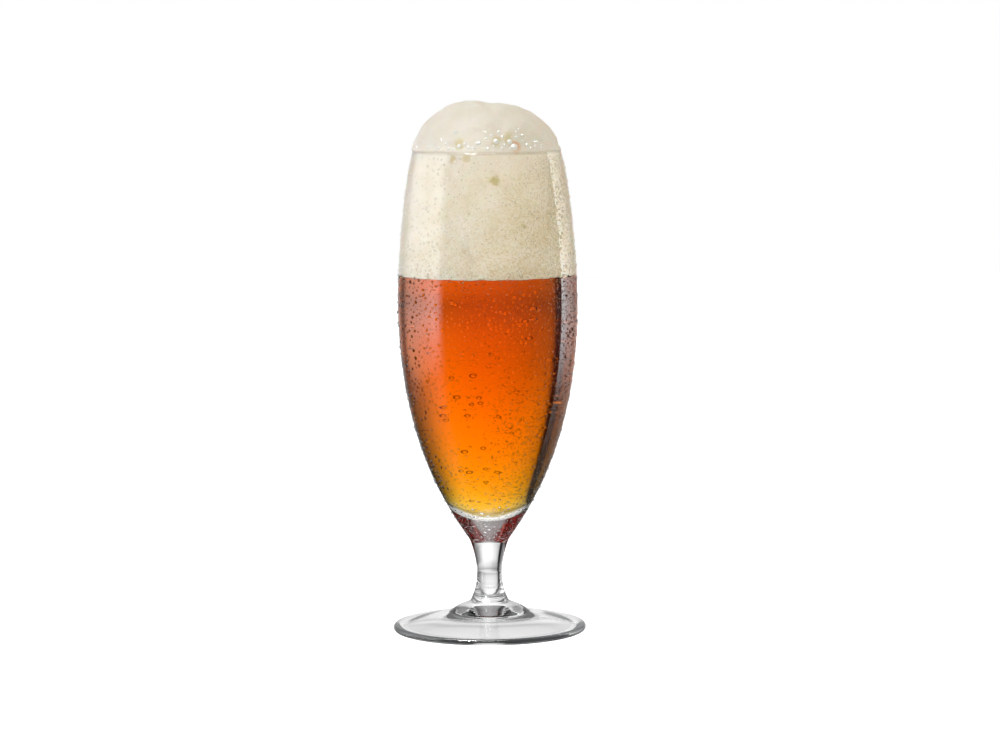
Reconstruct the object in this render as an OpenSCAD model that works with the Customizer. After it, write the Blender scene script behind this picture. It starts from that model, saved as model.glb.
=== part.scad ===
// Stemmed beer glass, filled and topped with froth.
// Millimetres, +Z up, origin at the middle of the foot on the table.

/* [Foot] */
// Diameter of the foot
foot_d = 81; // [64:1:110]
// Thickness of the rounded edge of the foot
foot_edge_t = 2.8; // [2:0.1:4.5]
// Width of the flat ring that the glass rests on
rest_ring_w = 2; // [1.5:0.5:6]
// Depth of the hollow under the foot, which leaves it about as thin all over as at its edge
hollow_depth = 6.5; // [3:0.1:7]
// Diameter of the rounded swelling between the stem and the foot
knuckle_d = 33; // [26:1:44]
// Height of the foot's upper face at the edge of that swelling
knuckle_h = 8; // [6:0.2:10]

/* [Stem] */
// Diameter of the stem at its waist
waist_d = 10.4; // [8:0.2:14]
// Height of the waist above the table
waist_h = 24.2; // [20:0.2:29]
// Diameter of the stem where it stands on the swelling
stem_foot_d = 16; // [13:0.5:21]
// Height at which the stem stands on the swelling
stem_foot_h = 12.6; // [11:0.2:15]
// Diameter at the shoulder, where the stem becomes the bowl
shoulder_d = 16.4; // [13:0.2:22]
// Height of the shoulder above the table
shoulder_h = 38.4; // [33:0.2:60]

/* [Bowl] */
// Outside diameter of the bowl at its widest
belly_d = 75; // [60:1:95]
// Height of the widest place above the shoulder
belly_rise = 99.6; // [80:1:115]
// Outside diameter at the rim
rim_d = 62; // [50:0.2:74]
// Height of the bowl, from the shoulder to the rim
bowl_h = 163.4; // [140:1:200]
// How fully the lower bowl swells towards its widest place
lower_fullness = 0.62; // [0.45:0.01:0.75]
// How straight the upper bowl rises before it draws in
upper_fullness = 0.3; // [0.15:0.01:0.5]
// How far the bowl widens for each millimetre up as it leaves the shoulder
shoulder_slope = 0.62; // [0.4:0.01:0.9]
// How far the bowl narrows for each millimetre up at the rim
rim_slope = 0.25; // [0.1:0.01:0.35]

/* [Wall] */
// Wall thickness at the widest place
belly_wall = 1.7; // [1.2:0.1:3]
// Wall thickness at the fire-polished rim
rim_wall = 1.3; // [1:0.1:2.4]
// Solid glass between the shoulder and the inside of the bowl
base_t = 11.4; // [9:0.2:18]
// How wide the round bottom of the inside is
bottom_fullness = 0.46; // [0.3:0.01:0.6]

/* [Beer] */
// Depth of the beer above the inside bottom
beer_depth = 99.8; // [60:1:120]
// Clearance of beer and froth from the wall
fill_gap = 0.1; // [0.05:0.05:0.3]

/* [Froth] */
// Height of the froth's crown above the rim
crown_h = 18.9; // [12:0.1:26]
// How full the crown's shoulders are, 2 being a plain ellipse
crown_fullness = 2.4; // [1.8:0.1:3.5]
// Height that the left lobe adds to the crown
left_lobe_h = 3; // [0:0.1:4]
// Distance of the left lobe from the middle, along -X
left_lobe_out = 13; // [8:0.5:16]
// Height that the right lobe adds to the crown
right_lobe_h = 1.6; // [0:0.1:4]
// Distance of the right lobe from the middle, along +X
right_lobe_out = 9; // [4:0.5:16]
// Distance of the right lobe in front of the middle, along -Y
right_lobe_front = 9; // [0:0.5:16]
// Half width of each lobe
lobe_w = 7; // [5:0.5:12]
// Depth of the fold between the lobes
fold_depth = 1.6; // [0:0.1:3]
// Half width of the fold
fold_w = 2.4; // [2:0.1:5]
// Half length of the fold
fold_l = 9; // [4:0.5:14]
// Distance of the fold's deepest place from the middle
fold_out = 8; // [0:0.5:14]
// Direction in which the fold runs out from the middle, in degrees from +X
fold_angle = -84; // [-180:1:180]

/* [Detail] */
// Steps along each long curve of the glass
curve_steps = 22; // [12:1:40]
// Steps along each short curve
short_steps = 8; // [5:1:16]
// Sides of the froth's crown
crown_sides = 48; // [24:2:72]
// Rings of the froth's crown
crown_rings = 12; // [6:1:18]

/* [Hidden] */
$fn = 128;

foot_r = foot_d / 2;
edge_r = foot_edge_t / 2;
rest_ring_r = foot_r - edge_r;
hollow_r = rest_ring_r - rest_ring_w;
knuckle_r = knuckle_d / 2;
waist_r = waist_d / 2;
stem_foot_r = stem_foot_d / 2;
shoulder_r = shoulder_d / 2;
belly_r = belly_d / 2;
belly_h = shoulder_h + belly_rise;
rim_r = rim_d / 2;
rim_h = shoulder_h + bowl_h;
bead_r = rim_wall / 2;
bead_h = rim_h - bead_r;
inside_h = shoulder_h + base_t;
beer_h = inside_h + beer_depth;

// How far the foot's upper face falls for each millimetre out
foot_fall = (knuckle_h - foot_edge_t) / (rest_ring_r - knuckle_r);

// Length of the almost straight wall above the shoulder, and below the rim
shoulder_run = belly_rise * 0.09;
rim_run = (bead_h - belly_h) * 0.22;

// Points of a cubic curve after its first point
function curve(a, b, c, d, steps) = [
    for (i = [1:steps])
        let (t = i / steps, u = 1 - t)
            u * u * u * a + 3 * u * u * t * b + 3 * u * t * t * c + t * t * t * d
];

// Points of an arc, both ends included
function arc(centre, r, from, to, steps) = [
    for (i = [0:steps])
        let (a = from + (to - from) * i / steps)
            centre + r * [cos(a), sin(a)]
];

// Underside of the foot, from the middle out to the flat ring, following the fall of the upper face
function underside() = concat(
    [[0, hollow_depth]],
    curve([0, hollow_depth], [hollow_r * 0.2, hollow_depth], [hollow_r * 0.5, hollow_r * foot_fall * 0.65],
        [hollow_r, 0], short_steps)
);

// Upper side of the foot, from its edge in to the stem's foot
function foot_top() =
    let (
        edge_top = [rest_ring_r, foot_edge_t],
        knuckle = [knuckle_r, knuckle_h],
        toe = knuckle_r * 0.18,
        crest = (stem_foot_h - knuckle_h) * 0.6
    )
    concat(
        curve(edge_top, edge_top + [-edge_r, edge_r * foot_fall], knuckle + [toe, -toe * foot_fall * 1.4],
            knuckle, short_steps),
        curve(knuckle, knuckle + [-toe, crest], [stem_foot_r * 1.3, stem_foot_h - crest * 0.6],
            [stem_foot_r, stem_foot_h], short_steps)
    );

// Outside of the stem, from its foot up to the shoulder
function stem_side() =
    let (lower = waist_h - stem_foot_h, upper = shoulder_h - waist_h)
    concat(
        curve([stem_foot_r, stem_foot_h], [stem_foot_r - lower * 0.14, stem_foot_h + lower * 0.3],
            [waist_r, waist_h - lower * 0.42], [waist_r, waist_h], short_steps),
        curve([waist_r, waist_h], [waist_r, waist_h + upper * 0.3],
            [shoulder_r - upper * 0.13, shoulder_h - upper * 0.33], [shoulder_r, shoulder_h], short_steps)
    );

// Wall of the bowl from the belly to the rim, set in from the outside at both ends
function upper_wall(belly_in, rim_in) = curve(
    [belly_r - belly_in, belly_h],
    [belly_r - belly_in, belly_h + (bead_h - belly_h) * upper_fullness],
    [rim_r - rim_in + rim_slope * rim_run, bead_h - rim_run],
    [rim_r - rim_in, bead_h],
    curve_steps
);

// Outside of the bowl, from the shoulder to the rim
function bowl_outside() = concat(
    curve([shoulder_r, shoulder_h], [shoulder_r + shoulder_slope * shoulder_run, shoulder_h + shoulder_run],
        [belly_r, belly_h - belly_rise * lower_fullness], [belly_r, belly_h], curve_steps),
    upper_wall(0, 0)
);

// Inside of the bowl, from its bottom to the rim, set in by gap
function bowl_inside(gap) =
    let (r = belly_r - belly_wall - gap, rise = belly_h - inside_h)
    concat(
        [[0, inside_h + gap]],
        curve([0, inside_h + gap], [r * bottom_fullness, inside_h + gap],
            [r, belly_h - rise * lower_fullness], [r, belly_h], curve_steps),
        upper_wall(belly_wall + gap, rim_wall + gap)
    );

function reversed(points) = [for (i = [len(points) - 1:-1:0]) points[i]];

// Radius of the inside at a height, set in by gap
function inside_radius(height, gap) = lookup(height, [for (p = bowl_inside(gap)) [p[1], p[0]]]);

// One blown piece: foot, drawn stem and bowl with a thick base and a rounded rim
module glass() {
    edge = arc([rest_ring_r, edge_r], edge_r, -90, 90, short_steps);
    bead = arc([rim_r - bead_r, bead_h], bead_r, 0, 180, short_steps);
    color([0.86, 0.91, 0.92, 0.45])
        rotate_extrude()
            polygon(concat(underside(), edge, foot_top(), stem_side(), bowl_outside(), bead,
                reversed(bowl_inside(0))));
}

// The beer fills the bowl from its round bottom up to the froth
module beer() {
    side = [for (p = bowl_inside(fill_gap)) if (p[1] < beer_h) p];
    color([0.93, 0.45, 0.03])
        rotate_extrude()
            polygon(concat(side, [[inside_radius(beer_h, fill_gap), beer_h], [0, beer_h]]));
}

// Radius of the crown where it leaves the plug, a little inside the plug's edge
crown_r = rim_r - rim_wall - 3 * fill_gap;

// Soft hump that is 1 at its middle and fades over the given half width
function hump(distance, half_width) = exp(-distance * distance / (2 * half_width * half_width));

// Height that the lobes add, and the fold takes away, at a place on the crown
function swelling(x, y) =
    let (
        edge_calm = max(0, 1 - (x * x + y * y) / (crown_r * crown_r)),
        left = hump(norm([x + left_lobe_out, y]), lobe_w),
        right = hump(norm([x - right_lobe_out, y + right_lobe_front]), lobe_w),
        along = x * cos(fold_angle) + y * sin(fold_angle),
        across = y * cos(fold_angle) - x * sin(fold_angle),
        fold = hump(across, fold_w) * hump(along - fold_out, fold_l)
    )
    edge_calm * (left_lobe_h * left + right_lobe_h * right - fold_depth * fold);

// A point of the crown: ring 0 is inside the plug, ring 1 at the rim and the last ring at the top
function crown_point(ring, side) =
    let (
        out = cos(90 * max(0, ring - 1) / (crown_rings - 1)),
        turn = 360 * side / crown_sides,
        x = crown_r * out * cos(turn),
        y = crown_r * out * sin(turn),
        dome = crown_h * sqrt(1 - pow(out, crown_fullness)) + swelling(x, y)
    )
    [x, y, bead_h + (ring == 0 ? -bead_r : dome)];

// Domed crown with two soft lobes and the fold between them
module crown() {
    top = crown_rings * crown_sides;
    points = concat(
        [for (ring = [0:crown_rings - 1], side = [0:crown_sides - 1]) crown_point(ring, side)],
        [[0, 0, bead_h + crown_h + swelling(0, 0)]]
    );
    faces = concat(
        [[for (side = [0:crown_sides - 1]) side]],
        [for (ring = [0:crown_rings - 2], side = [0:crown_sides - 1], half = [0, 1])
            let (
                next = (side + 1) % crown_sides,
                a = ring * crown_sides + side,
                b = ring * crown_sides + next,
                c = b + crown_sides,
                d = a + crown_sides
            )
            half == 0 ? [a, d, c] : [a, c, b]],
        [for (side = [0:crown_sides - 1])
            let (last = (crown_rings - 1) * crown_sides)
            [last + side, top, last + (side + 1) % crown_sides]]
    );
    polyhedron(points, faces);
}

// The head of froth: a plug inside the rim and the crown that stands above it
module froth() {
    wall = [for (p = bowl_inside(fill_gap)) if (p[1] > beer_h) p];
    color([0.94, 0.9, 0.8])
        union() {
            rotate_extrude()
                polygon(concat([[0, beer_h], [inside_radius(beer_h, fill_gap), beer_h]], wall, [[0, bead_h]]));
            crown();
        }
}

glass();
beer();
froth();
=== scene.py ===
"""Looks of the stemmed beer glass: glass, beer, froth and the condensation on the bowl."""

import math

import bmesh
import bpy
import numpy as np
from mathutils import Matrix, Vector, noise


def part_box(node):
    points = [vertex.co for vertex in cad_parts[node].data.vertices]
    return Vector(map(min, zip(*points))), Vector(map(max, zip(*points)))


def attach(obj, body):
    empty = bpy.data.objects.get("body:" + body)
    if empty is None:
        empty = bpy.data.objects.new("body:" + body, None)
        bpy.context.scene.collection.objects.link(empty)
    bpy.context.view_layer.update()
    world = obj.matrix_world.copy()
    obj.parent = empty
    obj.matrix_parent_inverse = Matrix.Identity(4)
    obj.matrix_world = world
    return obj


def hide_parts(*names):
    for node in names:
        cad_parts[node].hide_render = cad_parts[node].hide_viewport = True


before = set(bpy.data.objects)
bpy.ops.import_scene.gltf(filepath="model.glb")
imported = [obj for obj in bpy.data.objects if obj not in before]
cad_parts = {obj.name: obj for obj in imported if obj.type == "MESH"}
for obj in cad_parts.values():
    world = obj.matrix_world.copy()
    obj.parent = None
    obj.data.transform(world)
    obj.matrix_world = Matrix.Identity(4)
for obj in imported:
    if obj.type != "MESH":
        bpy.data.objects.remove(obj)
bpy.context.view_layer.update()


# The glass
# One piece of clear crystal: the bowl is blown into a mould, the short stem is drawn out of
# its thick base, and the foot is pressed with a rounded swelling under the stem. Millimetres.
MM = 0.001
FOOT_D = 81.0
FOOT_EDGE_T = 2.8
REST_RING_W = 2.0
HOLLOW_DEPTH = 6.5
KNUCKLE_D = 33.0
KNUCKLE_H = 8.0
WAIST_D = 10.4
WAIST_H = 24.2
STEM_FOOT_D = 16.0
STEM_FOOT_H = 12.6
SHOULDER_D = 16.4
SHOULDER_H = 38.4
BELLY_D = 75.0
BELLY_RISE = 99.6
RIM_D = 62.0
RIM_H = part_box("glass")[1].z / MM
LOWER_FULLNESS = 0.62
UPPER_FULLNESS = 0.3
SHOULDER_SLOPE = 0.62
RIM_SLOPE = 0.25
BELLY_WALL = 1.7
RIM_WALL = 1.3
BASE_T = 11.4
BOTTOM_FULLNESS = 0.46
GLASS_SIDES = 256
UPPER_STEPS = 36
GLASS_IOR = 1.5
FOG_CELL = 0.9
FOG_RELIEF = 0.09
FOOT_GLOW = 0.07
FOOT_GLOW_TOP = 6
TURNS_BEFORE_GLOW = 3.5

BELLY_H = SHOULDER_H + BELLY_RISE
INSIDE_H = SHOULDER_H + BASE_T
BEAD_R = RIM_WALL / 2
BEAD_H = RIM_H - BEAD_R
SHOULDER_RUN = BELLY_RISE * 0.09
RIM_RUN = (BEAD_H - BELLY_H) * 0.22


def curve(a, b, c, d, steps):
    """Points (radius, height) of a cubic curve after its first point."""
    t = np.linspace(0, 1, steps + 1)[1:, None]
    u = 1 - t
    a, b, c, d = (np.array(p, float) for p in (a, b, c, d))
    return list(u**3 * a + 3 * u * u * t * b + 3 * u * t * t * c + t**3 * d)


def arc(centre, radius, start, end, steps):
    """Points of an arc, both ends included, from start to end in degrees."""
    turns = np.radians(np.linspace(start, end, steps + 1))
    return [np.array((centre[0] + radius * math.cos(a), centre[1] + radius * math.sin(a))) for a in turns]


def upper_wall(belly_in, rim_in, steps):
    """The wall from the belly to the rim, set in from the outside at both ends."""
    belly_r = BELLY_D / 2 - belly_in
    rim_r = RIM_D / 2 - rim_in
    return curve(
        (belly_r, BELLY_H),
        (belly_r, BELLY_H + (BEAD_H - BELLY_H) * UPPER_FULLNESS),
        (rim_r + RIM_SLOPE * RIM_RUN, BEAD_H - RIM_RUN),
        (rim_r, BEAD_H),
        steps,
    )


def bowl_outside():
    """Outside of the bowl from the shoulder to the rim."""
    shoulder_r = SHOULDER_D / 2
    lower = curve(
        (shoulder_r, SHOULDER_H),
        (shoulder_r + SHOULDER_SLOPE * SHOULDER_RUN, SHOULDER_H + SHOULDER_RUN),
        (BELLY_D / 2, BELLY_H - BELLY_RISE * LOWER_FULLNESS),
        (BELLY_D / 2, BELLY_H),
        60,
    )
    return lower + upper_wall(0, 0, UPPER_STEPS)


def bowl_inside(inset):
    """Inside of the bowl from its bottom to the rim, set in by inset, or out if it is negative."""
    belly_r = BELLY_D / 2 - BELLY_WALL - inset
    rise = BELLY_H - INSIDE_H
    bottom = (0, INSIDE_H + inset)
    lower = curve(
        bottom,
        (belly_r * BOTTOM_FULLNESS, INSIDE_H + inset),
        (belly_r, BELLY_H - rise * LOWER_FULLNESS),
        (belly_r, BELLY_H),
        56,
    )
    upper = upper_wall(BELLY_WALL + inset, RIM_WALL + inset, UPPER_STEPS)
    return [np.array(bottom)] + lower + upper


def glass_outline():
    """The whole section, from the middle of the underside round the rim to the inside bottom."""
    edge_r = FOOT_EDGE_T / 2
    ring_r = FOOT_D / 2 - edge_r
    hollow_r = ring_r - REST_RING_W
    knuckle_r = KNUCKLE_D / 2
    stem_foot_r = STEM_FOOT_D / 2
    fall = (KNUCKLE_H - FOOT_EDGE_T) / (ring_r - knuckle_r)
    toe = knuckle_r * 0.18
    crest = (STEM_FOOT_H - KNUCKLE_H) * 0.6
    lower = WAIST_H - STEM_FOOT_H
    upper = SHOULDER_H - WAIST_H
    underside = [np.array((0.0, HOLLOW_DEPTH))]
    underside += curve(
        (0, HOLLOW_DEPTH),
        (hollow_r * 0.2, HOLLOW_DEPTH),
        (hollow_r * 0.5, hollow_r * fall * 0.65),
        (hollow_r, 0),
        24,
    )
    foot_top = curve(
        (ring_r, FOOT_EDGE_T),
        (ring_r - edge_r, FOOT_EDGE_T + edge_r * fall),
        (knuckle_r + toe, KNUCKLE_H - toe * fall * 1.4),
        (knuckle_r, KNUCKLE_H),
        20,
    )
    swelling = curve(
        (knuckle_r, KNUCKLE_H),
        (knuckle_r - toe, KNUCKLE_H + crest),
        (stem_foot_r * 1.3, STEM_FOOT_H - crest * 0.6),
        (stem_foot_r, STEM_FOOT_H),
        16,
    )
    stem = curve(
        (stem_foot_r, STEM_FOOT_H),
        (stem_foot_r - lower * 0.14, STEM_FOOT_H + lower * 0.3),
        (WAIST_D / 2, WAIST_H - lower * 0.42),
        (WAIST_D / 2, WAIST_H),
        16,
    )
    stem += curve(
        (WAIST_D / 2, WAIST_H),
        (WAIST_D / 2, WAIST_H + upper * 0.3),
        (SHOULDER_D / 2 - upper * 0.13, SHOULDER_H - upper * 0.33),
        (SHOULDER_D / 2, SHOULDER_H),
        18,
    )
    edge = arc((ring_r, edge_r), edge_r, -90, 90, 16)
    rim = arc((RIM_D / 2 - BEAD_R, BEAD_H), BEAD_R, 0, 180, 12)[1:-1]
    return underside + edge + foot_top + swelling + stem + bowl_outside() + rim + bowl_inside(0)[::-1]


def turned(name, outline, sides, crease_at=()):
    """Turns a section round +Z, with closed poles, and keeps the rings at the given heights crisp."""
    angles = np.arange(sides) * 2 * math.pi / sides
    points, rings, faces = [], [], []
    for r, z in outline:
        first = len(points)
        if r < 1e-6:
            points.append((0.0, 0.0, z * MM))
            rings.append([first] * sides)
        else:
            points += [(r * MM * math.cos(a), r * MM * math.sin(a), z * MM) for a in angles]
            rings.append(list(range(first, first + sides)))
    for low, high in zip(rings, rings[1:]):
        for j in range(sides):
            k = (j + 1) % sides
            corners = [low[j], low[k], high[k], high[j]]
            faces.append(list(dict.fromkeys(corners)))
    mesh = bpy.data.meshes.new(name)
    mesh.from_pydata(points, [], faces)
    mesh.polygons.foreach_set("use_smooth", [True] * len(mesh.polygons))
    crisp = set()
    for (r, z), ring in zip(outline, rings):
        if any(abs(z - height) < 1e-6 for height in crease_at):
            crisp.update(ring)
    for edge in mesh.edges:
        edge.use_edge_sharp = edge.vertices[0] in crisp and edge.vertices[1] in crisp
    piece = bpy.data.objects.new(name, mesh)
    bpy.context.scene.collection.objects.link(piece)
    return piece


def linear(hex_colour):
    """An sRGB hex colour as linear red, green, blue and alpha."""
    parts = [int(hex_colour[i:i + 2], 16) / 255 for i in (1, 3, 5)]
    return tuple(c / 12.92 if c <= 0.04045 else ((c + 0.055) / 1.055) ** 2.4 for c in parts) + (1.0,)


def add_node(tree, kind, inputs=None, **settings):
    """Adds a node; an input given as a socket is linked, any other value is set on it."""
    made = tree.nodes.new(kind)
    for key, value in settings.items():
        setattr(made, key, value)
    for key, value in (inputs or {}).items():
        if isinstance(value, bpy.types.NodeSocket):
            tree.links.new(value, made.inputs[key])
        else:
            made.inputs[key].default_value = value
    return made


def new_material(name):
    """An empty material and its node tree with one output."""
    made = bpy.data.materials.new(name)
    made.use_nodes = True
    made.node_tree.nodes.clear()
    return made, made.node_tree


def blend(tree, share, first, second):
    """The colour between two colours at a share from 0 to 1."""
    mixed = tree.nodes.new("ShaderNodeMix")
    mixed.data_type = "RGBA"
    tree.links.new(share, mixed.inputs["Factor"])
    colours = [s for s in mixed.inputs if s.type == "RGBA"]
    for socket, colour in zip(colours, (first, second)):
        if isinstance(colour, bpy.types.NodeSocket):
            tree.links.new(colour, socket)
        else:
            socket.default_value = colour
    return [s for s in mixed.outputs if s.type == "RGBA"][0]


def add_math(tree, operation, first, second, **settings):
    """The result of a math node on two values or sockets."""
    made = add_node(tree, "ShaderNodeMath", {0: first, 1: second}, operation=operation, **settings)
    return made.outputs[0]


def add_range(tree, value, start, end, low=0.0, high=1.0, ease=False):
    """A value carried from start and end to low and high; ease softens both ends."""
    ends = {"Value": value, "From Min": start, "From Max": end, "To Min": low, "To Max": high}
    kind = "SMOOTHSTEP" if ease else "LINEAR"
    return add_node(tree, "ShaderNodeMapRange", ends, interpolation_type=kind).outputs["Result"]


def add_noise(tree, place, size, detail):
    """Soft noise from 0 to 1 with waves of size millimetres."""
    waves = {"Vector": place, "Scale": 1 / (size * MM), "Detail": detail}
    return add_node(tree, "ShaderNodeTexNoise", waves).outputs["Fac"]


def add_cells(tree, place, size):
    """The outputs of a pattern of cells, each about size millimetres across."""
    cells = {"Vector": place, "Scale": 1 / (size * MM)}
    return add_node(tree, "ShaderNodeTexVoronoi", cells, feature="F1").outputs


def add_bump(tree, height, strength, depth, under=None):
    """The normal of a surface raised by up to depth millimetres, over another normal if given."""
    inputs = {"Height": height, "Strength": strength, "Distance": depth * MM}
    if under is not None:
        inputs["Normal"] = under
    return add_node(tree, "ShaderNodeBump", inputs).outputs["Normal"]


def clear_skin(ior, tint, normal):
    """The inputs of a clear, polished surface."""
    return {
        "Base Color": linear("#FFFFFF"),
        "Roughness": 0.0,
        "IOR": ior,
        "Transmission Weight": 1.0,
        "Specular Tint": tint,
        "Normal": normal,
    }


def dress(tree, inputs, volume=None):
    """Ends a material in a surface with these inputs, and in a volume if given."""
    shader = add_node(tree, "ShaderNodeBsdfPrincipled", inputs)
    ends = {"Surface": shader.outputs["BSDF"]}
    if volume is not None:
        ends["Volume"] = volume
    add_node(tree, "ShaderNodeOutputMaterial", ends)


def crystal_glass():
    """Lead-free crystal, fire-polished: colourless and brilliant, with a breath of fog on the bowl."""
    material, tree = new_material("crystal_glass")
    place = add_node(tree, "ShaderNodeTexCoord").outputs["Object"]
    parts = add_node(tree, "ShaderNodeSeparateXYZ", {"Vector": place}).outputs
    # Real fog is finer still: its droplets are drawn large enough for a picture to hold them.
    cells = add_cells(tree, place, FOG_CELL)
    chance = add_node(tree, "ShaderNodeSeparateColor", {"Color": cells["Color"]}).outputs["Red"]
    reach = add_range(tree, chance, 0.35, 1.0, 0.01, 0.5)
    droplet = add_range(tree, cells["Distance"], reach, 0.0, ease=True)
    bowl = add_range(tree, parts["Z"], 46 * MM, 60 * MM, ease=True)
    side = add_range(tree, parts["X"], -20 * MM, 34 * MM, -0.25, 0.3)
    share = add_math(tree, "ADD", add_noise(tree, place, 24, 3.0), side)
    misty = add_range(tree, share, 0.35, 0.8, 0.12, 1.0, ease=True)
    fog = add_math(tree, "MULTIPLY", misty, bowl)
    grain = add_math(tree, "MULTIPLY", droplet, fog)
    waves = add_bump(tree, add_noise(tree, place, 26, 1.0), 0.25, 0.6)
    bump = add_bump(tree, grain, 1.0, FOG_RELIEF, waves)
    # Under a drop the glass has no mirror shine, because water lies against it there.
    rays = add_node(tree, "ShaderNodeLightPath").outputs
    facing = add_node(tree, "ShaderNodeNewGeometry").outputs["Backfacing"]
    outside = add_math(tree, "SUBTRACT", 1.0, facing)
    covered = add_math(tree, "MULTIPLY", rays["Is Transmission Ray"], outside)
    dull = add_math(tree, "MULTIPLY", covered, bowl)
    # Light that runs round inside the foot's rim comes out after many turns; this stands for it.
    foot = add_math(tree, "LESS_THAN", parts["Z"], FOOT_GLOW_TOP * MM)
    late = add_math(tree, "GREATER_THAN", rays["Ray Depth"], TURNS_BEFORE_GLOW)
    trapped = add_math(tree, "MULTIPLY", foot, late)
    skin = clear_skin(GLASS_IOR, blend(tree, dull, linear("#FFFFFF"), linear("#000000")), bump)
    skin["Emission Color"] = linear("#E8ECEE")
    skin["Emission Strength"] = add_math(tree, "MULTIPLY", trapped, FOOT_GLOW)
    dress(tree, skin)
    return material


def wetted_glass():
    """The inside of the bowl where beer lies against it: the beer takes away its mirror shine."""
    material, tree = new_material("wetted_glass")
    place = add_node(tree, "ShaderNodeTexCoord").outputs["Object"]
    bump = add_bump(tree, add_noise(tree, place, 30, 1.0), 0.1, 0.4)
    dress(tree, clear_skin(GLASS_IOR, linear("#000000"), bump))
    return material


glass = turned("glass_body", glass_outline(), GLASS_SIDES, crease_at=(SHOULDER_H, STEM_FOOT_H))
glass.data.materials.append(crystal_glass())
glass.data.materials.append(wetted_glass())
inside_faces = (len(bowl_inside(0)) - 1) * GLASS_SIDES
for face in list(glass.data.polygons)[-inside_faces:]:
    face.material_index = 1
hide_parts("glass")
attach(glass, "root")


# The beer
# A clear amber lager that fills the bowl. It wets the wall, so its skin lies a hair inside
# the glass, and its depth alone gives the colour: orange where it is deep, gold at the bottom.
WET = 0.15
BEER_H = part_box("beer")[1].z / MM
BEER_IOR = 1.345
LINE_LIFT = 0.5
LINE_WANDER = 0.45
LINE_WAVE = 5


def radius_at(outline, height):
    """Radius of an outline that rises all the way, at a height."""
    return float(np.interp(height, [p[1] for p in outline], [p[0] for p in outline]))


def froth_line(at):
    """How far the line between beer and froth lies above the solid's, at a place on the wall."""
    return (LINE_LIFT + noise.noise(at / (LINE_WAVE * MM)) * LINE_WANDER) * MM


def amber_beer():
    """Filtered lager: water-clear skin with an amber depth, so only its thickness colours it."""
    material, tree = new_material("amber_beer")
    place = add_node(tree, "ShaderNodeTexCoord").outputs["Object"]
    bump = add_bump(tree, add_noise(tree, place, 18, 2.0), 0.03, 0.3)
    absorbed = {"Color": linear("#FFE800"), "Density": 160.0}
    depth = add_node(tree, "ShaderNodeVolumeAbsorption", absorbed)
    dress(tree, clear_skin(BEER_IOR, linear("#000000"), bump), depth.outputs["Volume"])
    return material


wetted = bowl_inside(-WET)
beer_outline = [p for p in wetted if p[1] < BEER_H]
beer_outline += [np.array((radius_at(wetted, BEER_H), BEER_H)), np.array((0.0, BEER_H))]
beer = turned("beer_fill", beer_outline, GLASS_SIDES, crease_at=(BEER_H,))
for vertex in beer.data.vertices:
    if vertex.co.z > (BEER_H - 0.01) * MM and vertex.co.xy.length > MM:
        vertex.co.z += froth_line(vertex.co)
beer.data.materials.append(amber_beer())
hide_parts("beer")
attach(beer, "root")


# The froth
# A stiff cream head of fine bubbles: a plug that presses against the inside of the bowl, and a
# domed crown with two soft lobes and a fold, which stands above the rim and leans on its lip.
CROWN_H = 18.9
CROWN_FULLNESS = 2.5
LEFT_LOBE = (3.0, -13.0, 0.0)
RIGHT_LOBE = (1.6, 9.0, -9.0)
LOBE_W = 7.0
SADDLE = (1.4, -1.5)
SADDLE_W = 5.0
FOLD_DEPTH = 1.6
FOLD_W = 2.4
FOLD_L = 9.0
FOLD_OUT = 8.0
FOLD_ANGLE = math.radians(-84)
LIP_BULGE = 0.85
LEFT_SHOULDER = 0.024
FOAM_SPOTS = (
    (2.9, -31.0, 190.0, 2.8, "#C9BE82"),
    (-13.8, -27.0, 199.0, 2.0, "#D6CBA0"),
    (-8.3, -29.0, 199.5, 2.2, "#DDD0AC"),
    (15.4, -31.5, 171.5, 1.6, "#C4B886"),
    (19.6, -29.6, 168.0, 1.4, "#C9BC90"),
    (11.4, -26.5, 204.0, 3.6, "#EDB682"),
    (4.2, -29.0, 206.8, 3.4, "#DDD09A"),
    (8.5, -27.0, 207.5, 3.2, "#E2D4A4"),
    (-11.0, -27.0, 205.0, 3.0, "#E2D6AC"),
)
LUMP_SIZE = 7
LUMP_H = 0.45
LIP_H = 0.8
CROWN_RINGS = 90
FROTH_SIDES = 320


def hump(distance, half_width):
    """A soft hump that is 1 at its middle."""
    return np.exp(-(distance**2) / (2 * half_width**2))


def crown_swelling(x, y, crown_r):
    """Height that the lobes add and the fold takes away, at a place on the crown."""
    calm = np.clip(1 - (x * x + y * y) / crown_r**2, 0, None)
    lobes = sum(h * hump(np.hypot(x - cx, y - cy), LOBE_W) for h, cx, cy in (LEFT_LOBE, RIGHT_LOBE))
    along = x * math.cos(FOLD_ANGLE) + y * math.sin(FOLD_ANGLE)
    across = y * math.cos(FOLD_ANGLE) - x * math.sin(FOLD_ANGLE)
    fold = hump(across, FOLD_W) * hump(along - FOLD_OUT, FOLD_L)
    return calm * (lobes - FOLD_DEPTH * fold)


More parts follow.
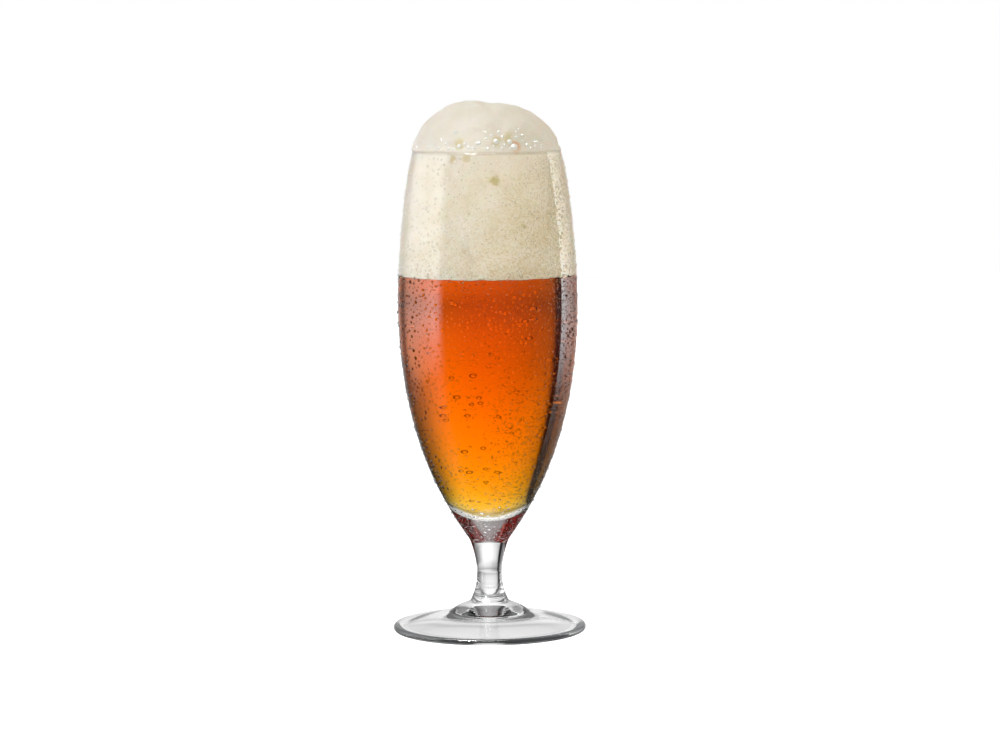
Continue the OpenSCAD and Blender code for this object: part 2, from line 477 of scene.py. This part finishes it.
def froth_foam():
    """Beer foam: matt cream, lit through from inside, with a grain of bubbles under a millimetre."""
    material, tree = new_material("froth_foam")
    place = add_node(tree, "ShaderNodeTexCoord").outputs["Object"]
    parts = add_node(tree, "ShaderNodeSeparateXYZ", {"Vector": place}).outputs
    cells = add_cells(tree, place, 0.55)
    cloud = add_noise(tree, place, 9, 4.0)
    # The grain of darker bubble cells shows most at the lower right: the foam's own cells, deepened there
    # with painted shade that stands for the dark specks of the condensation drops over the froth.
    down = add_math(tree, "SUBTRACT", RIM_H * MM, parts["Z"])
    lean = add_math(tree, "ADD", down, parts["X"])
    speck_shade = add_range(tree, lean, -15 * MM, 55 * MM, 0.02, 0.75)
    cell = add_node(tree, "ShaderNodeSeparateColor", {"Color": cells["Color"]}).outputs["Red"]
    dark_cell = add_range(tree, cell, 0.35, 1.0)
    grain = add_math(tree, "MULTIPLY", dark_cell, speck_shade)
    patch = add_range(tree, cloud, 0.35, 0.7, 0.0, 0.35)
    both = add_math(tree, "ADD", grain, patch, use_clamp=True)
    dry = blend(tree, both, linear("#F4EDDF"), linear("#E6D9BC"))
    wet = blend(tree, both, linear("#F6EFDF"), linear("#DACA9E"))
    drained = add_range(tree, parts["Z"], (RIM_H - 12) * MM, (RIM_H + 1) * MM, ease=True)
    cream = blend(tree, drained, wet, dry)
    # Single large bubbles let the beer's colour show through as olive and peach spots.
    frayed = add_range(tree, add_noise(tree, place, 3, 2.0), 0.3, 0.7, -1.0 * MM, 1.0 * MM)
    for x, y, z, radius, tint in FOAM_SPOTS:
        middle = (x * MM, y * MM, z * MM)
        gap = add_node(tree, "ShaderNodeVectorMath", {0: place, 1: middle}, operation="DISTANCE")
        edge = add_math(tree, "ADD", gap.outputs["Value"], frayed)
        spot = add_range(tree, edge, radius * MM, radius * 0.35 * MM, 0.0, 0.85, ease=True)
        cream = blend(tree, spot, cream, linear(tint))
    # A thin brown line along the lowest foam: painted shade that stands for the dark edge of the beer's
    # surface, seen from below where it meets the froth.
    beer_edge_shade = add_range(tree, parts["Z"], (BEER_H + 0.55) * MM, (BEER_H - 0.1) * MM, 0.0, 0.9)
    cream = blend(tree, beer_edge_shade, cream, linear("#7A3A12"))
    bump = add_bump(tree, cells["Distance"], 0.35, 0.12)
    soft = add_bump(tree, cloud, 0.5, 1.2, bump)
    dress(
        tree,
        {
            "Base Color": cream,
            "Roughness": 0.55,
            "IOR": 1.3,
            "Subsurface Weight": 0.3,
            "Subsurface Scale": 3 * MM,
            "Normal": soft,
        },
    )
    return material


plug = [np.array((0.0, BEER_H - WET)), np.array((radius_at(wetted, BEER_H), BEER_H - WET))]
plug += [p for p in wetted if p[1] > BEER_H]
crown_r = plug[-1][0]
lifts = np.radians(np.linspace(0, 90, CROWN_RINGS + 1))[1:]
dome = []
for lift in lifts:
    out = math.cos(lift)
    rise = CROWN_H * math.sqrt(max(0.0, 1 - out**CROWN_FULLNESS))
    dome.append(np.array((crown_r * out + LIP_BULGE * hump(rise - LIP_H, 1.0), BEAD_H + rise)))
dome[-1][0] = 0.0
froth = turned("froth_head", plug + dome, FROTH_SIDES)
for vertex in froth.data.vertices:
    above = vertex.co.z / MM - BEAD_H
    if above < BEER_H - BEAD_H and vertex.co.xy.length > MM:
        vertex.co.z += froth_line(vertex.co)
    if above > 0.3:
        if vertex.co.x < 0:
            vertex.co.x *= 1 + LEFT_SHOULDER * (min(1.0, above / 1.2) + min(1.0, max(0.0, above / 7 - 1)))
        lumps = noise.fractal(vertex.co / (LUMP_SIZE * MM), 1.0, 2.0, 3) * LUMP_H * min(1.0, above / 3)
        lift = crown_swelling(vertex.co.x / MM, vertex.co.y / MM, crown_r)
        saddle = SADDLE[0] * hump(vertex.co.x / MM - SADDLE[1], SADDLE_W) * min(1.0, above / CROWN_H) ** 4
        vertex.co.z += float(lift + lumps + saddle) * MM
        reach = math.hypot(vertex.co.x, vertex.co.y) / MM
        if reach > 1:
            vertex.co.xy *= 1 + lumps / reach
froth.data.materials.append(froth_foam())
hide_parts("froth")
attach(froth, "root")


# The froth's open bubbles
# Where the crown meets the rim the foam has coarsened into open bubbles of 1 to 5 mm: domes of
# thin beer film that rest in the froth, each with a bright glint. Small ones are scattered, large
# ones sit in two groups at the front.
OPEN_BUBBLES = (
    (11.3, 204.6, 1.7), (4.2, 206.8, 1.3), (9.2, 206.6, 1.2), (14.8, 208.8, 0.8), (5.2, 210.4, 0.8),
    (13.0, 211.2, 0.7), (-2.6, 206.2, 0.9), (-10.9, 204.8, 1.0), (-7.0, 204.2, 0.8), (-12.6, 210.4, 0.7),
    (-15.2, 203.6, 0.8), (-19.4, 203.8, 0.7), (-23.8, 204.0, 0.7), (0.8, 203.9, 0.7), (6.4, 203.8, 0.7),
    (16.8, 205.2, 0.8), (20.6, 206.0, 0.7), (18.2, 203.8, 0.6), (2.0, 209.0, 0.6), (-5.2, 203.8, 0.6),
    (-4.4, 205.4, 0.7), (-8.8, 205.9, 0.8), (0.1, 207.6, 0.7), (-0.6, 210.3, 0.5), (22.6, 204.6, 0.6),
    (-26.2, 206.0, 0.5), (-16.6, 205.4, 0.6), (-13.4, 203.5, 0.6), (6.8, 208.4, 0.7), (12.2, 208.3, 0.6),
    (7.4, 205.3, 0.6), (9.6, 203.6, 0.6), (3.0, 204.9, 0.6), (-18.0, 207.4, 0.5), (15.0, 206.8, 0.6),
)


def scattered(name, host, facets, values, material):
    """Drops on a host surface, made real: random sizes, sunk a little, denser where the host says so."""
    group = bpy.data.node_groups.new(name, "GeometryNodeTree")
    face = group.interface
    face.new_socket(name="Surface", in_out="INPUT", socket_type="NodeSocketGeometry")
    for label in ("Spacing", "Density", "Smallest", "Largest", "Flatness"):
        face.new_socket(name=label, in_out="INPUT", socket_type="NodeSocketFloat")
    face.new_socket(name="Seed", in_out="INPUT", socket_type="NodeSocketInt")
    face.new_socket(name="Material", in_out="INPUT", socket_type="NodeSocketMaterial")
    face.new_socket(name="Drops", in_out="OUTPUT", socket_type="NodeSocketGeometry")
    given = add_node(group, "NodeGroupInput").outputs
    mask = add_node(group, "GeometryNodeInputNamedAttribute", {"Name": "wetness"}, data_type="FLOAT")
    spots = add_node(
        group,
        "GeometryNodeDistributePointsOnFaces",
        {
            "Mesh": given["Surface"],
            "Distance Min": given["Spacing"],
            "Density Max": given["Density"],
            "Density Factor": mask.outputs["Attribute"],
            "Seed": given["Seed"],
        },
        distribute_method="POISSON",
    )
    chance = add_node(group, "FunctionNodeRandomValue", {"Seed": given["Seed"]}, data_type="FLOAT")
    fraction = [s for s in chance.outputs if s.type == "VALUE"][0]
    few_large = add_math(group, "POWER", fraction, 2.5)
    radius = add_range(group, few_large, 0.0, 1.0, given["Smallest"], given["Largest"])
    tall = add_math(group, "MULTIPLY", radius, given["Flatness"])
    size = add_node(group, "ShaderNodeCombineXYZ", {"X": radius, "Y": radius, "Z": tall})
    ball = add_node(group, "GeometryNodeMeshIcoSphere", {"Radius": 1.0, "Subdivisions": facets})
    at = add_node(group, "GeometryNodeInputPosition").outputs[0]
    shape = add_node(group, "ShaderNodeSeparateXYZ", {"Vector": at})
    floor_level = add_math(group, "MAXIMUM", shape.outputs["Z"], 0.0)
    flattened = add_node(
        group,
        "ShaderNodeCombineXYZ",
        {"X": shape.outputs["X"], "Y": shape.outputs["Y"], "Z": floor_level},
    )
    dome = add_node(
        group,
        "GeometryNodeSetPosition",
        {"Geometry": ball.outputs["Mesh"], "Position": flattened.outputs["Vector"]},
    )
    sunk = add_node(
        group,
        "GeometryNodeTransform",
        {"Geometry": dome.outputs["Geometry"], "Translation": (0, 0, -0.12)},
    )
    placed = add_node(
        group,
        "GeometryNodeInstanceOnPoints",
        {
            "Points": spots.outputs["Points"],
            "Instance": sunk.outputs["Geometry"],
            "Rotation": spots.outputs["Rotation"],
            "Scale": size.outputs["Vector"],
        },
    )
    real = add_node(group, "GeometryNodeRealizeInstances", {"Geometry": placed.outputs["Instances"]})
    smooth = add_node(group, "GeometryNodeSetShadeSmooth", {"Geometry": real.outputs["Geometry"]})
    painted = add_node(
        group,
        "GeometryNodeSetMaterial",
        {"Geometry": smooth.outputs["Geometry"], "Material": given["Material"]},
    )
    add_node(group, "NodeGroupOutput", {"Drops": painted.outputs["Geometry"]})
    modifier = host.modifiers.new(name, "NODES")
    modifier.node_group = group
    for item in face.items_tree:
        if item.in_out == "INPUT" and item.name in values:
            modifier[item.identifier] = values[item.name]
        elif item.in_out == "INPUT" and item.name == "Material":
            modifier[item.identifier] = material
    seen = host.evaluated_get(bpy.context.evaluated_depsgraph_get())
    mesh = bpy.data.meshes.new_from_object(seen)
    host.modifiers.remove(modifier)
    drops = bpy.data.objects.new(name, mesh)
    mesh.name = name
    bpy.context.scene.collection.objects.link(drops)
    return drops


def wetness(mesh, rule):
    """Stores on a mesh how wet each place is, from 0 to 1."""
    field = mesh.attributes.new("wetness", "FLOAT", "POINT")
    for vertex, value in zip(mesh.vertices, field.data):
        value.value = min(1.0, max(0.0, rule(vertex.co / MM)))


def beer_film():
    """A dome of thin beer film over cream foam: a faint straw white, painted lighter than the foam as a
    highlight, with a sharp, wet glint.
    """
    material, tree = new_material("beer_film")
    place = add_node(tree, "ShaderNodeTexCoord").outputs["Object"]
    tone = add_noise(tree, place, 3, 1.0)
    # Painted highlight: the film is coloured near white, lighter than the foam around it, so each bubble
    # reads as a bright spot.
    film_highlight = blend(tree, tone, linear("#FFFEFA"), linear("#FAF5E6"))
    dress(tree, {"Base Color": film_highlight, "Roughness": 0.2, "IOR": 2.2})
    return material


def coarse_share(at):
    """Bubbles crowd in patches along the rim and thin out up the crown."""
    height = at.z - RIM_H
    patch = noise.noise(at / 8.0) * 1.2 + 0.35
    return patch * hump(height - 2.2, 2.6) if height > 0.3 else 0.0


film = beer_film()
wetness(froth.data, coarse_share)
small_bubbles = scattered(
    "froth_small_bubbles",
    froth,
    2,
    {
        "Spacing": 1.1 * MM,
        "Density": 600000.0,
        "Smallest": 0.25 * MM,
        "Largest": 0.65 * MM,
        "Flatness": 0.7,
        "Seed": 3,
    },
    film,
)
froth.data.attributes.remove(froth.data.attributes["wetness"])
crown_front = [v.co.copy() for v in froth.data.vertices if v.co.y < 0 and v.co.z > BEAD_H * MM]
ball = bmesh.new()
for x, z, radius in OPEN_BUBBLES:
    seat = min(crown_front, key=lambda co: math.hypot(co.x / MM - x, co.z / MM - z))
    bmesh.ops.create_icosphere(
        ball,
        subdivisions=3,
        radius=radius * MM,
        matrix=Matrix.Translation(seat * (1 - 0.5 * radius * MM / seat.length)),
    )
large_mesh = bpy.data.meshes.new("froth_large_bubbles")
ball.to_mesh(large_mesh)
ball.free()
large_mesh.polygons.foreach_set("use_smooth", [True] * len(large_mesh.polygons))
large_bubbles = bpy.data.objects.new("froth_large_bubbles", large_mesh)
bpy.context.scene.collection.objects.link(large_bubbles)
large_mesh.materials.append(film)
for foam in (small_bubbles, large_bubbles):
    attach(foam, "root")


# The condensation beads and mist
# Room air has left water on the cold bowl: round beads of about a millimetre that stand off the
# glass and bend the light behind them, and a mist of finer ones. Both are scattered with a fixed seed.
SHELL_SIDES = 128
SHELL_LOW = 40
SHELL_HIGH = 200


def water():
    """Clean water: a clear skin that bends light a little less than the glass it sits on."""
    material, tree = new_material("condensed_water")
    place = add_node(tree, "ShaderNodeTexCoord").outputs["Object"]
    bump = add_bump(tree, add_noise(tree, place, 1.5, 1.0), 0.1, 0.1)
    dress(tree, clear_skin(1.33, linear("#808080"), bump))
    return material


def bead_share(at):
    """Beads gather in patches, most of them towards the two sides."""
    patch = noise.noise(at / 20.0) * 0.6
    share = 0.4 + 0.6 * abs(at.x + 2) / 37 + patch
    return share * 0.35 if at.y > 0 else share


def mist_share(at):
    """The mist is thick on the viewer's right and on the base, and fades at the lower left."""
    patch = noise.noise(at / 28.0) * 0.7 + noise.noise(at / 9.0) * 0.5
    lean = 0.45 + 0.6 * at.x / 37 + 0.25 * (at.z - 120) / 60 * (at.x < 0)
    over_froth = min(1.0, max(0.0, (at.z - 150) / 5))
    thinned = 1 - 0.8 * over_froth * min(1.0, max(0.0, (25 - at.x) / 20))
    rear = 0.4 if at.y > 0 else 1.0
    base = min(1.0, max(0.0, (52 - at.z) / 4))
    return (lean + patch) * thinned * rear + base * 0.8


condensed = water()
outside = [p for p in bowl_outside() if SHELL_LOW < p[1] < SHELL_HIGH]
shell = turned("bowl_surface", outside, SHELL_SIDES)
wetness(shell.data, bead_share)
beads = scattered(
    "condensation_beads",
    shell,
    2,
    {
        "Spacing": 1.75 * MM,
        "Density": 400000.0,
        "Smallest": 0.34 * MM,
        "Largest": 0.85 * MM,
        "Flatness": 0.75,
        "Seed": 5,
    },
    condensed,
)
shell.data.attributes.remove(shell.data.attributes["wetness"])
wetness(shell.data, mist_share)
mist = scattered(
    "condensation_mist",
    shell,
    1,
    {
        "Spacing": 0.62 * MM,
        "Density": 1600000.0,
        "Smallest": 0.17 * MM,
        "Largest": 0.36 * MM,
        "Flatness": 0.8,
        "Seed": 9,
    },
    condensed,
)
bpy.data.objects.remove(shell)
for drops in (beads, mist):
    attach(drops, "root")


# The studio
# A pale floor, a white background, and light from all round: a bright field behind the glass,
# dark gaps beside it that draw its edges, and soft boxes at both sides.
floor_mesh = bpy.data.meshes.new("floor")
floor_mesh.from_pydata([(-2, -2, 0), (2, -2, 0), (2, 2, 0), (-2, 2, 0)], [], [(0, 1, 2, 3)])
floor = bpy.data.objects.new("floor", floor_mesh)
bpy.context.scene.collection.objects.link(floor)
floor_paint, tree = new_material("floor_paint")
rays = add_node(tree, "ShaderNodeLightPath").outputs
paint = add_node(tree, "ShaderNodeBsdfDiffuse", {"Color": linear("#E6E6E6")})
glow = add_node(tree, "ShaderNodeEmission", {"Color": linear("#FFFFFF"), "Strength": 0.8})
pale = add_node(tree, "ShaderNodeAddShader", {0: paint.outputs[0], 1: glow.outputs[0]})
lit = add_node(
    tree,
    "ShaderNodeMixShader",
    {0: rays["Is Camera Ray"], 1: paint.outputs[0], 2: pale.outputs[0]},
)
past = add_node(tree, "ShaderNodeBsdfTransparent")
bent = add_math(tree, "MAXIMUM", rays["Is Glossy Ray"], rays["Is Transmission Ray"])
floor_mix = add_node(tree, "ShaderNodeMixShader", {0: bent, 1: lit.outputs[0], 2: past.outputs[0]})
add_node(tree, "ShaderNodeOutputMaterial", {"Surface": floor_mix.outputs[0]})
floor_mesh.materials.append(floor_paint)

# Brightness by degrees round the glass, clockwise from straight behind it: what shows through
# the glass, what its polished skin mirrors, and what lights the froth and the floor.
SHOWN = (
    (-180, 0.8), (-152, 0.7), (-142, 0.25), (-132, 0.3), (-122, 1.2), (-90, 1.1), (-60, 0.6), (-54, 0.25),
    (-40, 0.2), (-38, 0.02), (-29, 0.02), (-27.5, 0.36), (-25, 0.5), (-17, 0.62), (-11, 0.74), (-5, 0.92),
    (0, 1.0), (6, 1.04), (11, 1.08), (15, 1.05), (20, 0.95), (25, 0.85), (32, 0.7), (43, 0.6), (47, 0.2),
    (53, 0.2), (60, 0.9), (78, 0.6), (100, 0.8), (135, 0.3), (145, 0.3), (180, 0.8),
)
SHOWN_HIGH = (
    (-180, 0.8), (-152, 0.7), (-142, 0.25), (-132, 0.3), (-122, 1.2), (-90, 1.1), (-60, 0.6), (-54, 0.2),
    (-40, 0.15), (-38, 0.02), (-29, 0.02), (-27, 0.35), (-25, 0.5), (-17, 0.74), (-11, 0.85), (-5, 0.96),
    (0, 1.0), (6, 1.02), (11, 1.0), (15, 0.96), (21, 0.75), (30, 0.42), (38, 0.28), (56, 0.12), (76, 0.1),
    (84, 0.5), (100, 0.8), (135, 0.3), (145, 0.3), (180, 0.8),
)
SHOWN_LOW = (
    (-180, 0.8), (-152, 0.7), (-142, 0.25), (-132, 0.3), (-122, 1.2), (-90, 1.1), (-75, 0.9), (-60, 0.5),
    (-55, 0.03), (-33, 0.03), (-30, 0.5), (-25, 0.75), (-17, 0.9), (-10, 0.95), (0, 0.97),
    (8, 0.95), (14, 0.85), (21, 0.7), (28, 0.5), (33, 0.2), (42, 0.1), (56, 0.04), (76, 0.04), (84, 0.5),
    (100, 0.8), (135, 0.3), (145, 0.3), (180, 0.8),
)
MIRRORED = (
    (-180, 0.1), (-123, 0.1), (-118, 1.5), (-113, 4.5), (-106, 5.2), (-93, 4.0), (-78, 3.0), (-62, 1.9),
    (-50, 1.0), (-42, 0.3), (-30, 0.3), (-15, 0.7), (0, 0.9), (15, 0.8), (28, 0.5), (34, 0.9), (45, 1.8),
    (54, 2.8), (60, 4.2), (66, 6.5), (69, 8.0), (69.8, 0.15), (180, 0.1),
)
LIGHTING = (
    (-180, 1.05), (-130, 1.22), (-60, 1.1), (-20, 0.95), (20, 0.88), (80, 0.75), (140, 0.8), (180, 1.05),
)
# The same by height, from straight down (-1) to straight up (1).
SHOWN_RISE = (
    (-1, 1.3), (-0.75, 1.4), (-0.6, 1.25), (-0.42, 0.95), (-0.3, 0.98), (-0.2, 0.85), (-0.18, 0.68),
    (-0.16, 0.66), (-0.146, 0.88), (-0.13, 0.92), (-0.105, 0.8), (-0.08, 0.47), (-0.05, 0.74),
    (0, 0.94), (0.05, 1.15), (0.1, 1.2), (0.2, 1.15), (0.26, 1.05), (0.3, 1.35), (0.34, 1.3),
    (0.42, 0.7), (0.5, 0.2), (0.6, 0.4), (0.75, 0.4), (1, 0.2),
)
MIRRORED_RISE = (
    (-1, 0.02), (-0.5, 0.03), (-0.3, 0.12), (-0.2, 0.5), (-0.1, 1.0), (-0.04, 0.9), (0.05, 0.7),
    (0.15, 0.6), (0.6, 0.6), (1, 0.2),
)
LIGHTING_RISE = ((-1, 0.6), (-0.3, 0.7), (0.3, 1.0), (1, 1.1))


def grey_ramp(tree, value, low, high, peak, stops):
    """A ramp of greys over the values from low to high; the greys come out divided by peak."""
    fraction = add_node(tree, "ShaderNodeMapRange", {"Value": value, "From Min": low, "From Max": high})
    ramp = add_node(tree, "ShaderNodeValToRGB", {"Fac": fraction.outputs["Result"]})
    band = ramp.color_ramp
    band.elements.remove(band.elements[-1])
    band.elements[0].position = 0.0
    band.elements[0].color = (stops[0][1] / peak,) * 3 + (1,)
    for place, bright in stops[1:]:
        band.elements.new((place - low) / (high - low)).color = (bright / peak,) * 3 + (1,)
    return ramp.outputs["Color"]


world = bpy.data.worlds.new("studio")
bpy.context.scene.world = world
world.use_nodes = True
tree = world.node_tree
tree.nodes.clear()
sky = add_node(tree, "ShaderNodeTexCoord").outputs["Generated"]
aim = add_node(tree, "ShaderNodeSeparateXYZ", {"Vector": sky})
turn = add_math(tree, "ARCTAN2", aim.outputs["X"], aim.outputs["Y"])
turn = add_math(tree, "MULTIPLY", turn, 180 / math.pi)
fields = []
low_down = add_range(tree, aim.outputs["Z"], -0.12, -0.135)
high_up = add_range(tree, aim.outputs["Z"], 0.0, 0.06)
for around, rise, peak in (
    (SHOWN, SHOWN_RISE, 2),
    (MIRRORED, MIRRORED_RISE, 8),
    (LIGHTING, LIGHTING_RISE, 2),
):
    across = grey_ramp(tree, turn, -180, 180, peak, around)
    if around is SHOWN:
        across = blend(tree, high_up, across, grey_ramp(tree, turn, -180, 180, peak, SHOWN_HIGH))
        across = blend(tree, low_down, across, grey_ramp(tree, turn, -180, 180, peak, SHOWN_LOW))
    upward = grey_ramp(tree, aim.outputs["Z"], -1, 1, 2, rise)
    product = add_node(tree, "ShaderNodeVectorMath", {0: across, 1: upward}, operation="MULTIPLY")
    if around is LIGHTING:
        side = add_range(tree, aim.outputs["X"], -0.7, 0.5)
        tinted = {0: product.outputs[0], 1: blend(tree, side, linear("#F1F5FF"), linear("#FFF9EC"))}
        product = add_node(tree, "ShaderNodeVectorMath", tinted, operation="MULTIPLY")
    field = {"Color": product.outputs[0], "Strength": 2.0 * peak}
    fields.append(add_node(tree, "ShaderNodeBackground", field))
rays = add_node(tree, "ShaderNodeLightPath").outputs
# Froth behind glass gets back less of its own light than real froth does, which this makes up for.
through = add_range(tree, rays["Is Transmission Ray"], 0.0, 1.0, 3.6, 8.5)
tree.links.new(through, fields[2].inputs["Strength"])
fields = [field.outputs[0] for field in fields]
# A small lamp high at the front left and a wide one overhead are only mirrored: they put the
# glints on the drops and the bubbles.
toward = Vector((-0.45, -0.75, 0.8)).normalized()
near = add_node(tree, "ShaderNodeVectorMath", {0: sky, 1: toward}, operation="DOT_PRODUCT")
spark = add_range(tree, near.outputs["Value"], 0.983, 0.989, 0.0, 90.0)
above = Vector((-0.25, -0.45, 0.86))
overhead = add_node(tree, "ShaderNodeVectorMath", {0: sky, 1: above}, operation="DOT_PRODUCT")
canopy = add_range(tree, overhead.outputs["Value"], 0.85, 0.9, 0.0, 5.0)
both = add_math(tree, "ADD", spark, canopy)
glint = add_node(tree, "ShaderNodeBackground", {"Color": linear("#FFFFFF"), "Strength": both})
fields[1] = add_node(tree, "ShaderNodeAddShader", {0: fields[1], 1: glint.outputs[0]}).outputs[0]
mirror_ray = add_math(
    tree,
    "SUBTRACT",
    rays["Is Glossy Ray"],
    rays["Is Transmission Ray"],
    use_clamp=True,
)
seen = add_node(tree, "ShaderNodeMixShader", {0: mirror_ray, 1: fields[0], 2: fields[1]})
spread = add_math(tree, "GREATER_THAN", rays["Diffuse Depth"], 0.5)
mixed = add_node(tree, "ShaderNodeMixShader", {0: spread, 1: seen.outputs[0], 2: fields[2]})
white = add_node(tree, "ShaderNodeBackground", {"Color": linear("#FFFFFF"), "Strength": 1.0})
shown = add_node(
    tree,
    "ShaderNodeMixShader",
    {0: rays["Is Camera Ray"], 1: mixed.outputs[0], 2: white.outputs[0]},
)
add_node(tree, "ShaderNodeOutputWorld", {"Surface": shown.outputs[0]})

key = bpy.data.lights.new("soft_box", "AREA")
key.shape = "RECTANGLE"
key.size = 0.5
key.size_y = 0.8
key.energy = 0.6
key_light = bpy.data.objects.new("soft_box", key)
key_light.location = (-0.9, -0.5, 0.6)
key_light.rotation_euler = (math.radians(70), 0, math.radians(-61))
key_light.visible_glossy = False
key_light.visible_transmission = False
bpy.context.scene.collection.objects.link(key_light)

camera = bpy.data.cameras.new("camera")
camera.lens = 126.0
camera.sensor_width = 36.0
camera.clip_start = 0.05
camera_object = bpy.data.objects.new("camera", camera)
camera_object.location = (0.0059, -1.458, 0.255)
camera_object.rotation_euler = (math.radians(90 - 5.77), math.radians(0.36), 0)
bpy.context.scene.collection.objects.link(camera_object)
bpy.context.scene.camera = camera_object
bpy.context.scene.view_settings.view_transform = "Standard"
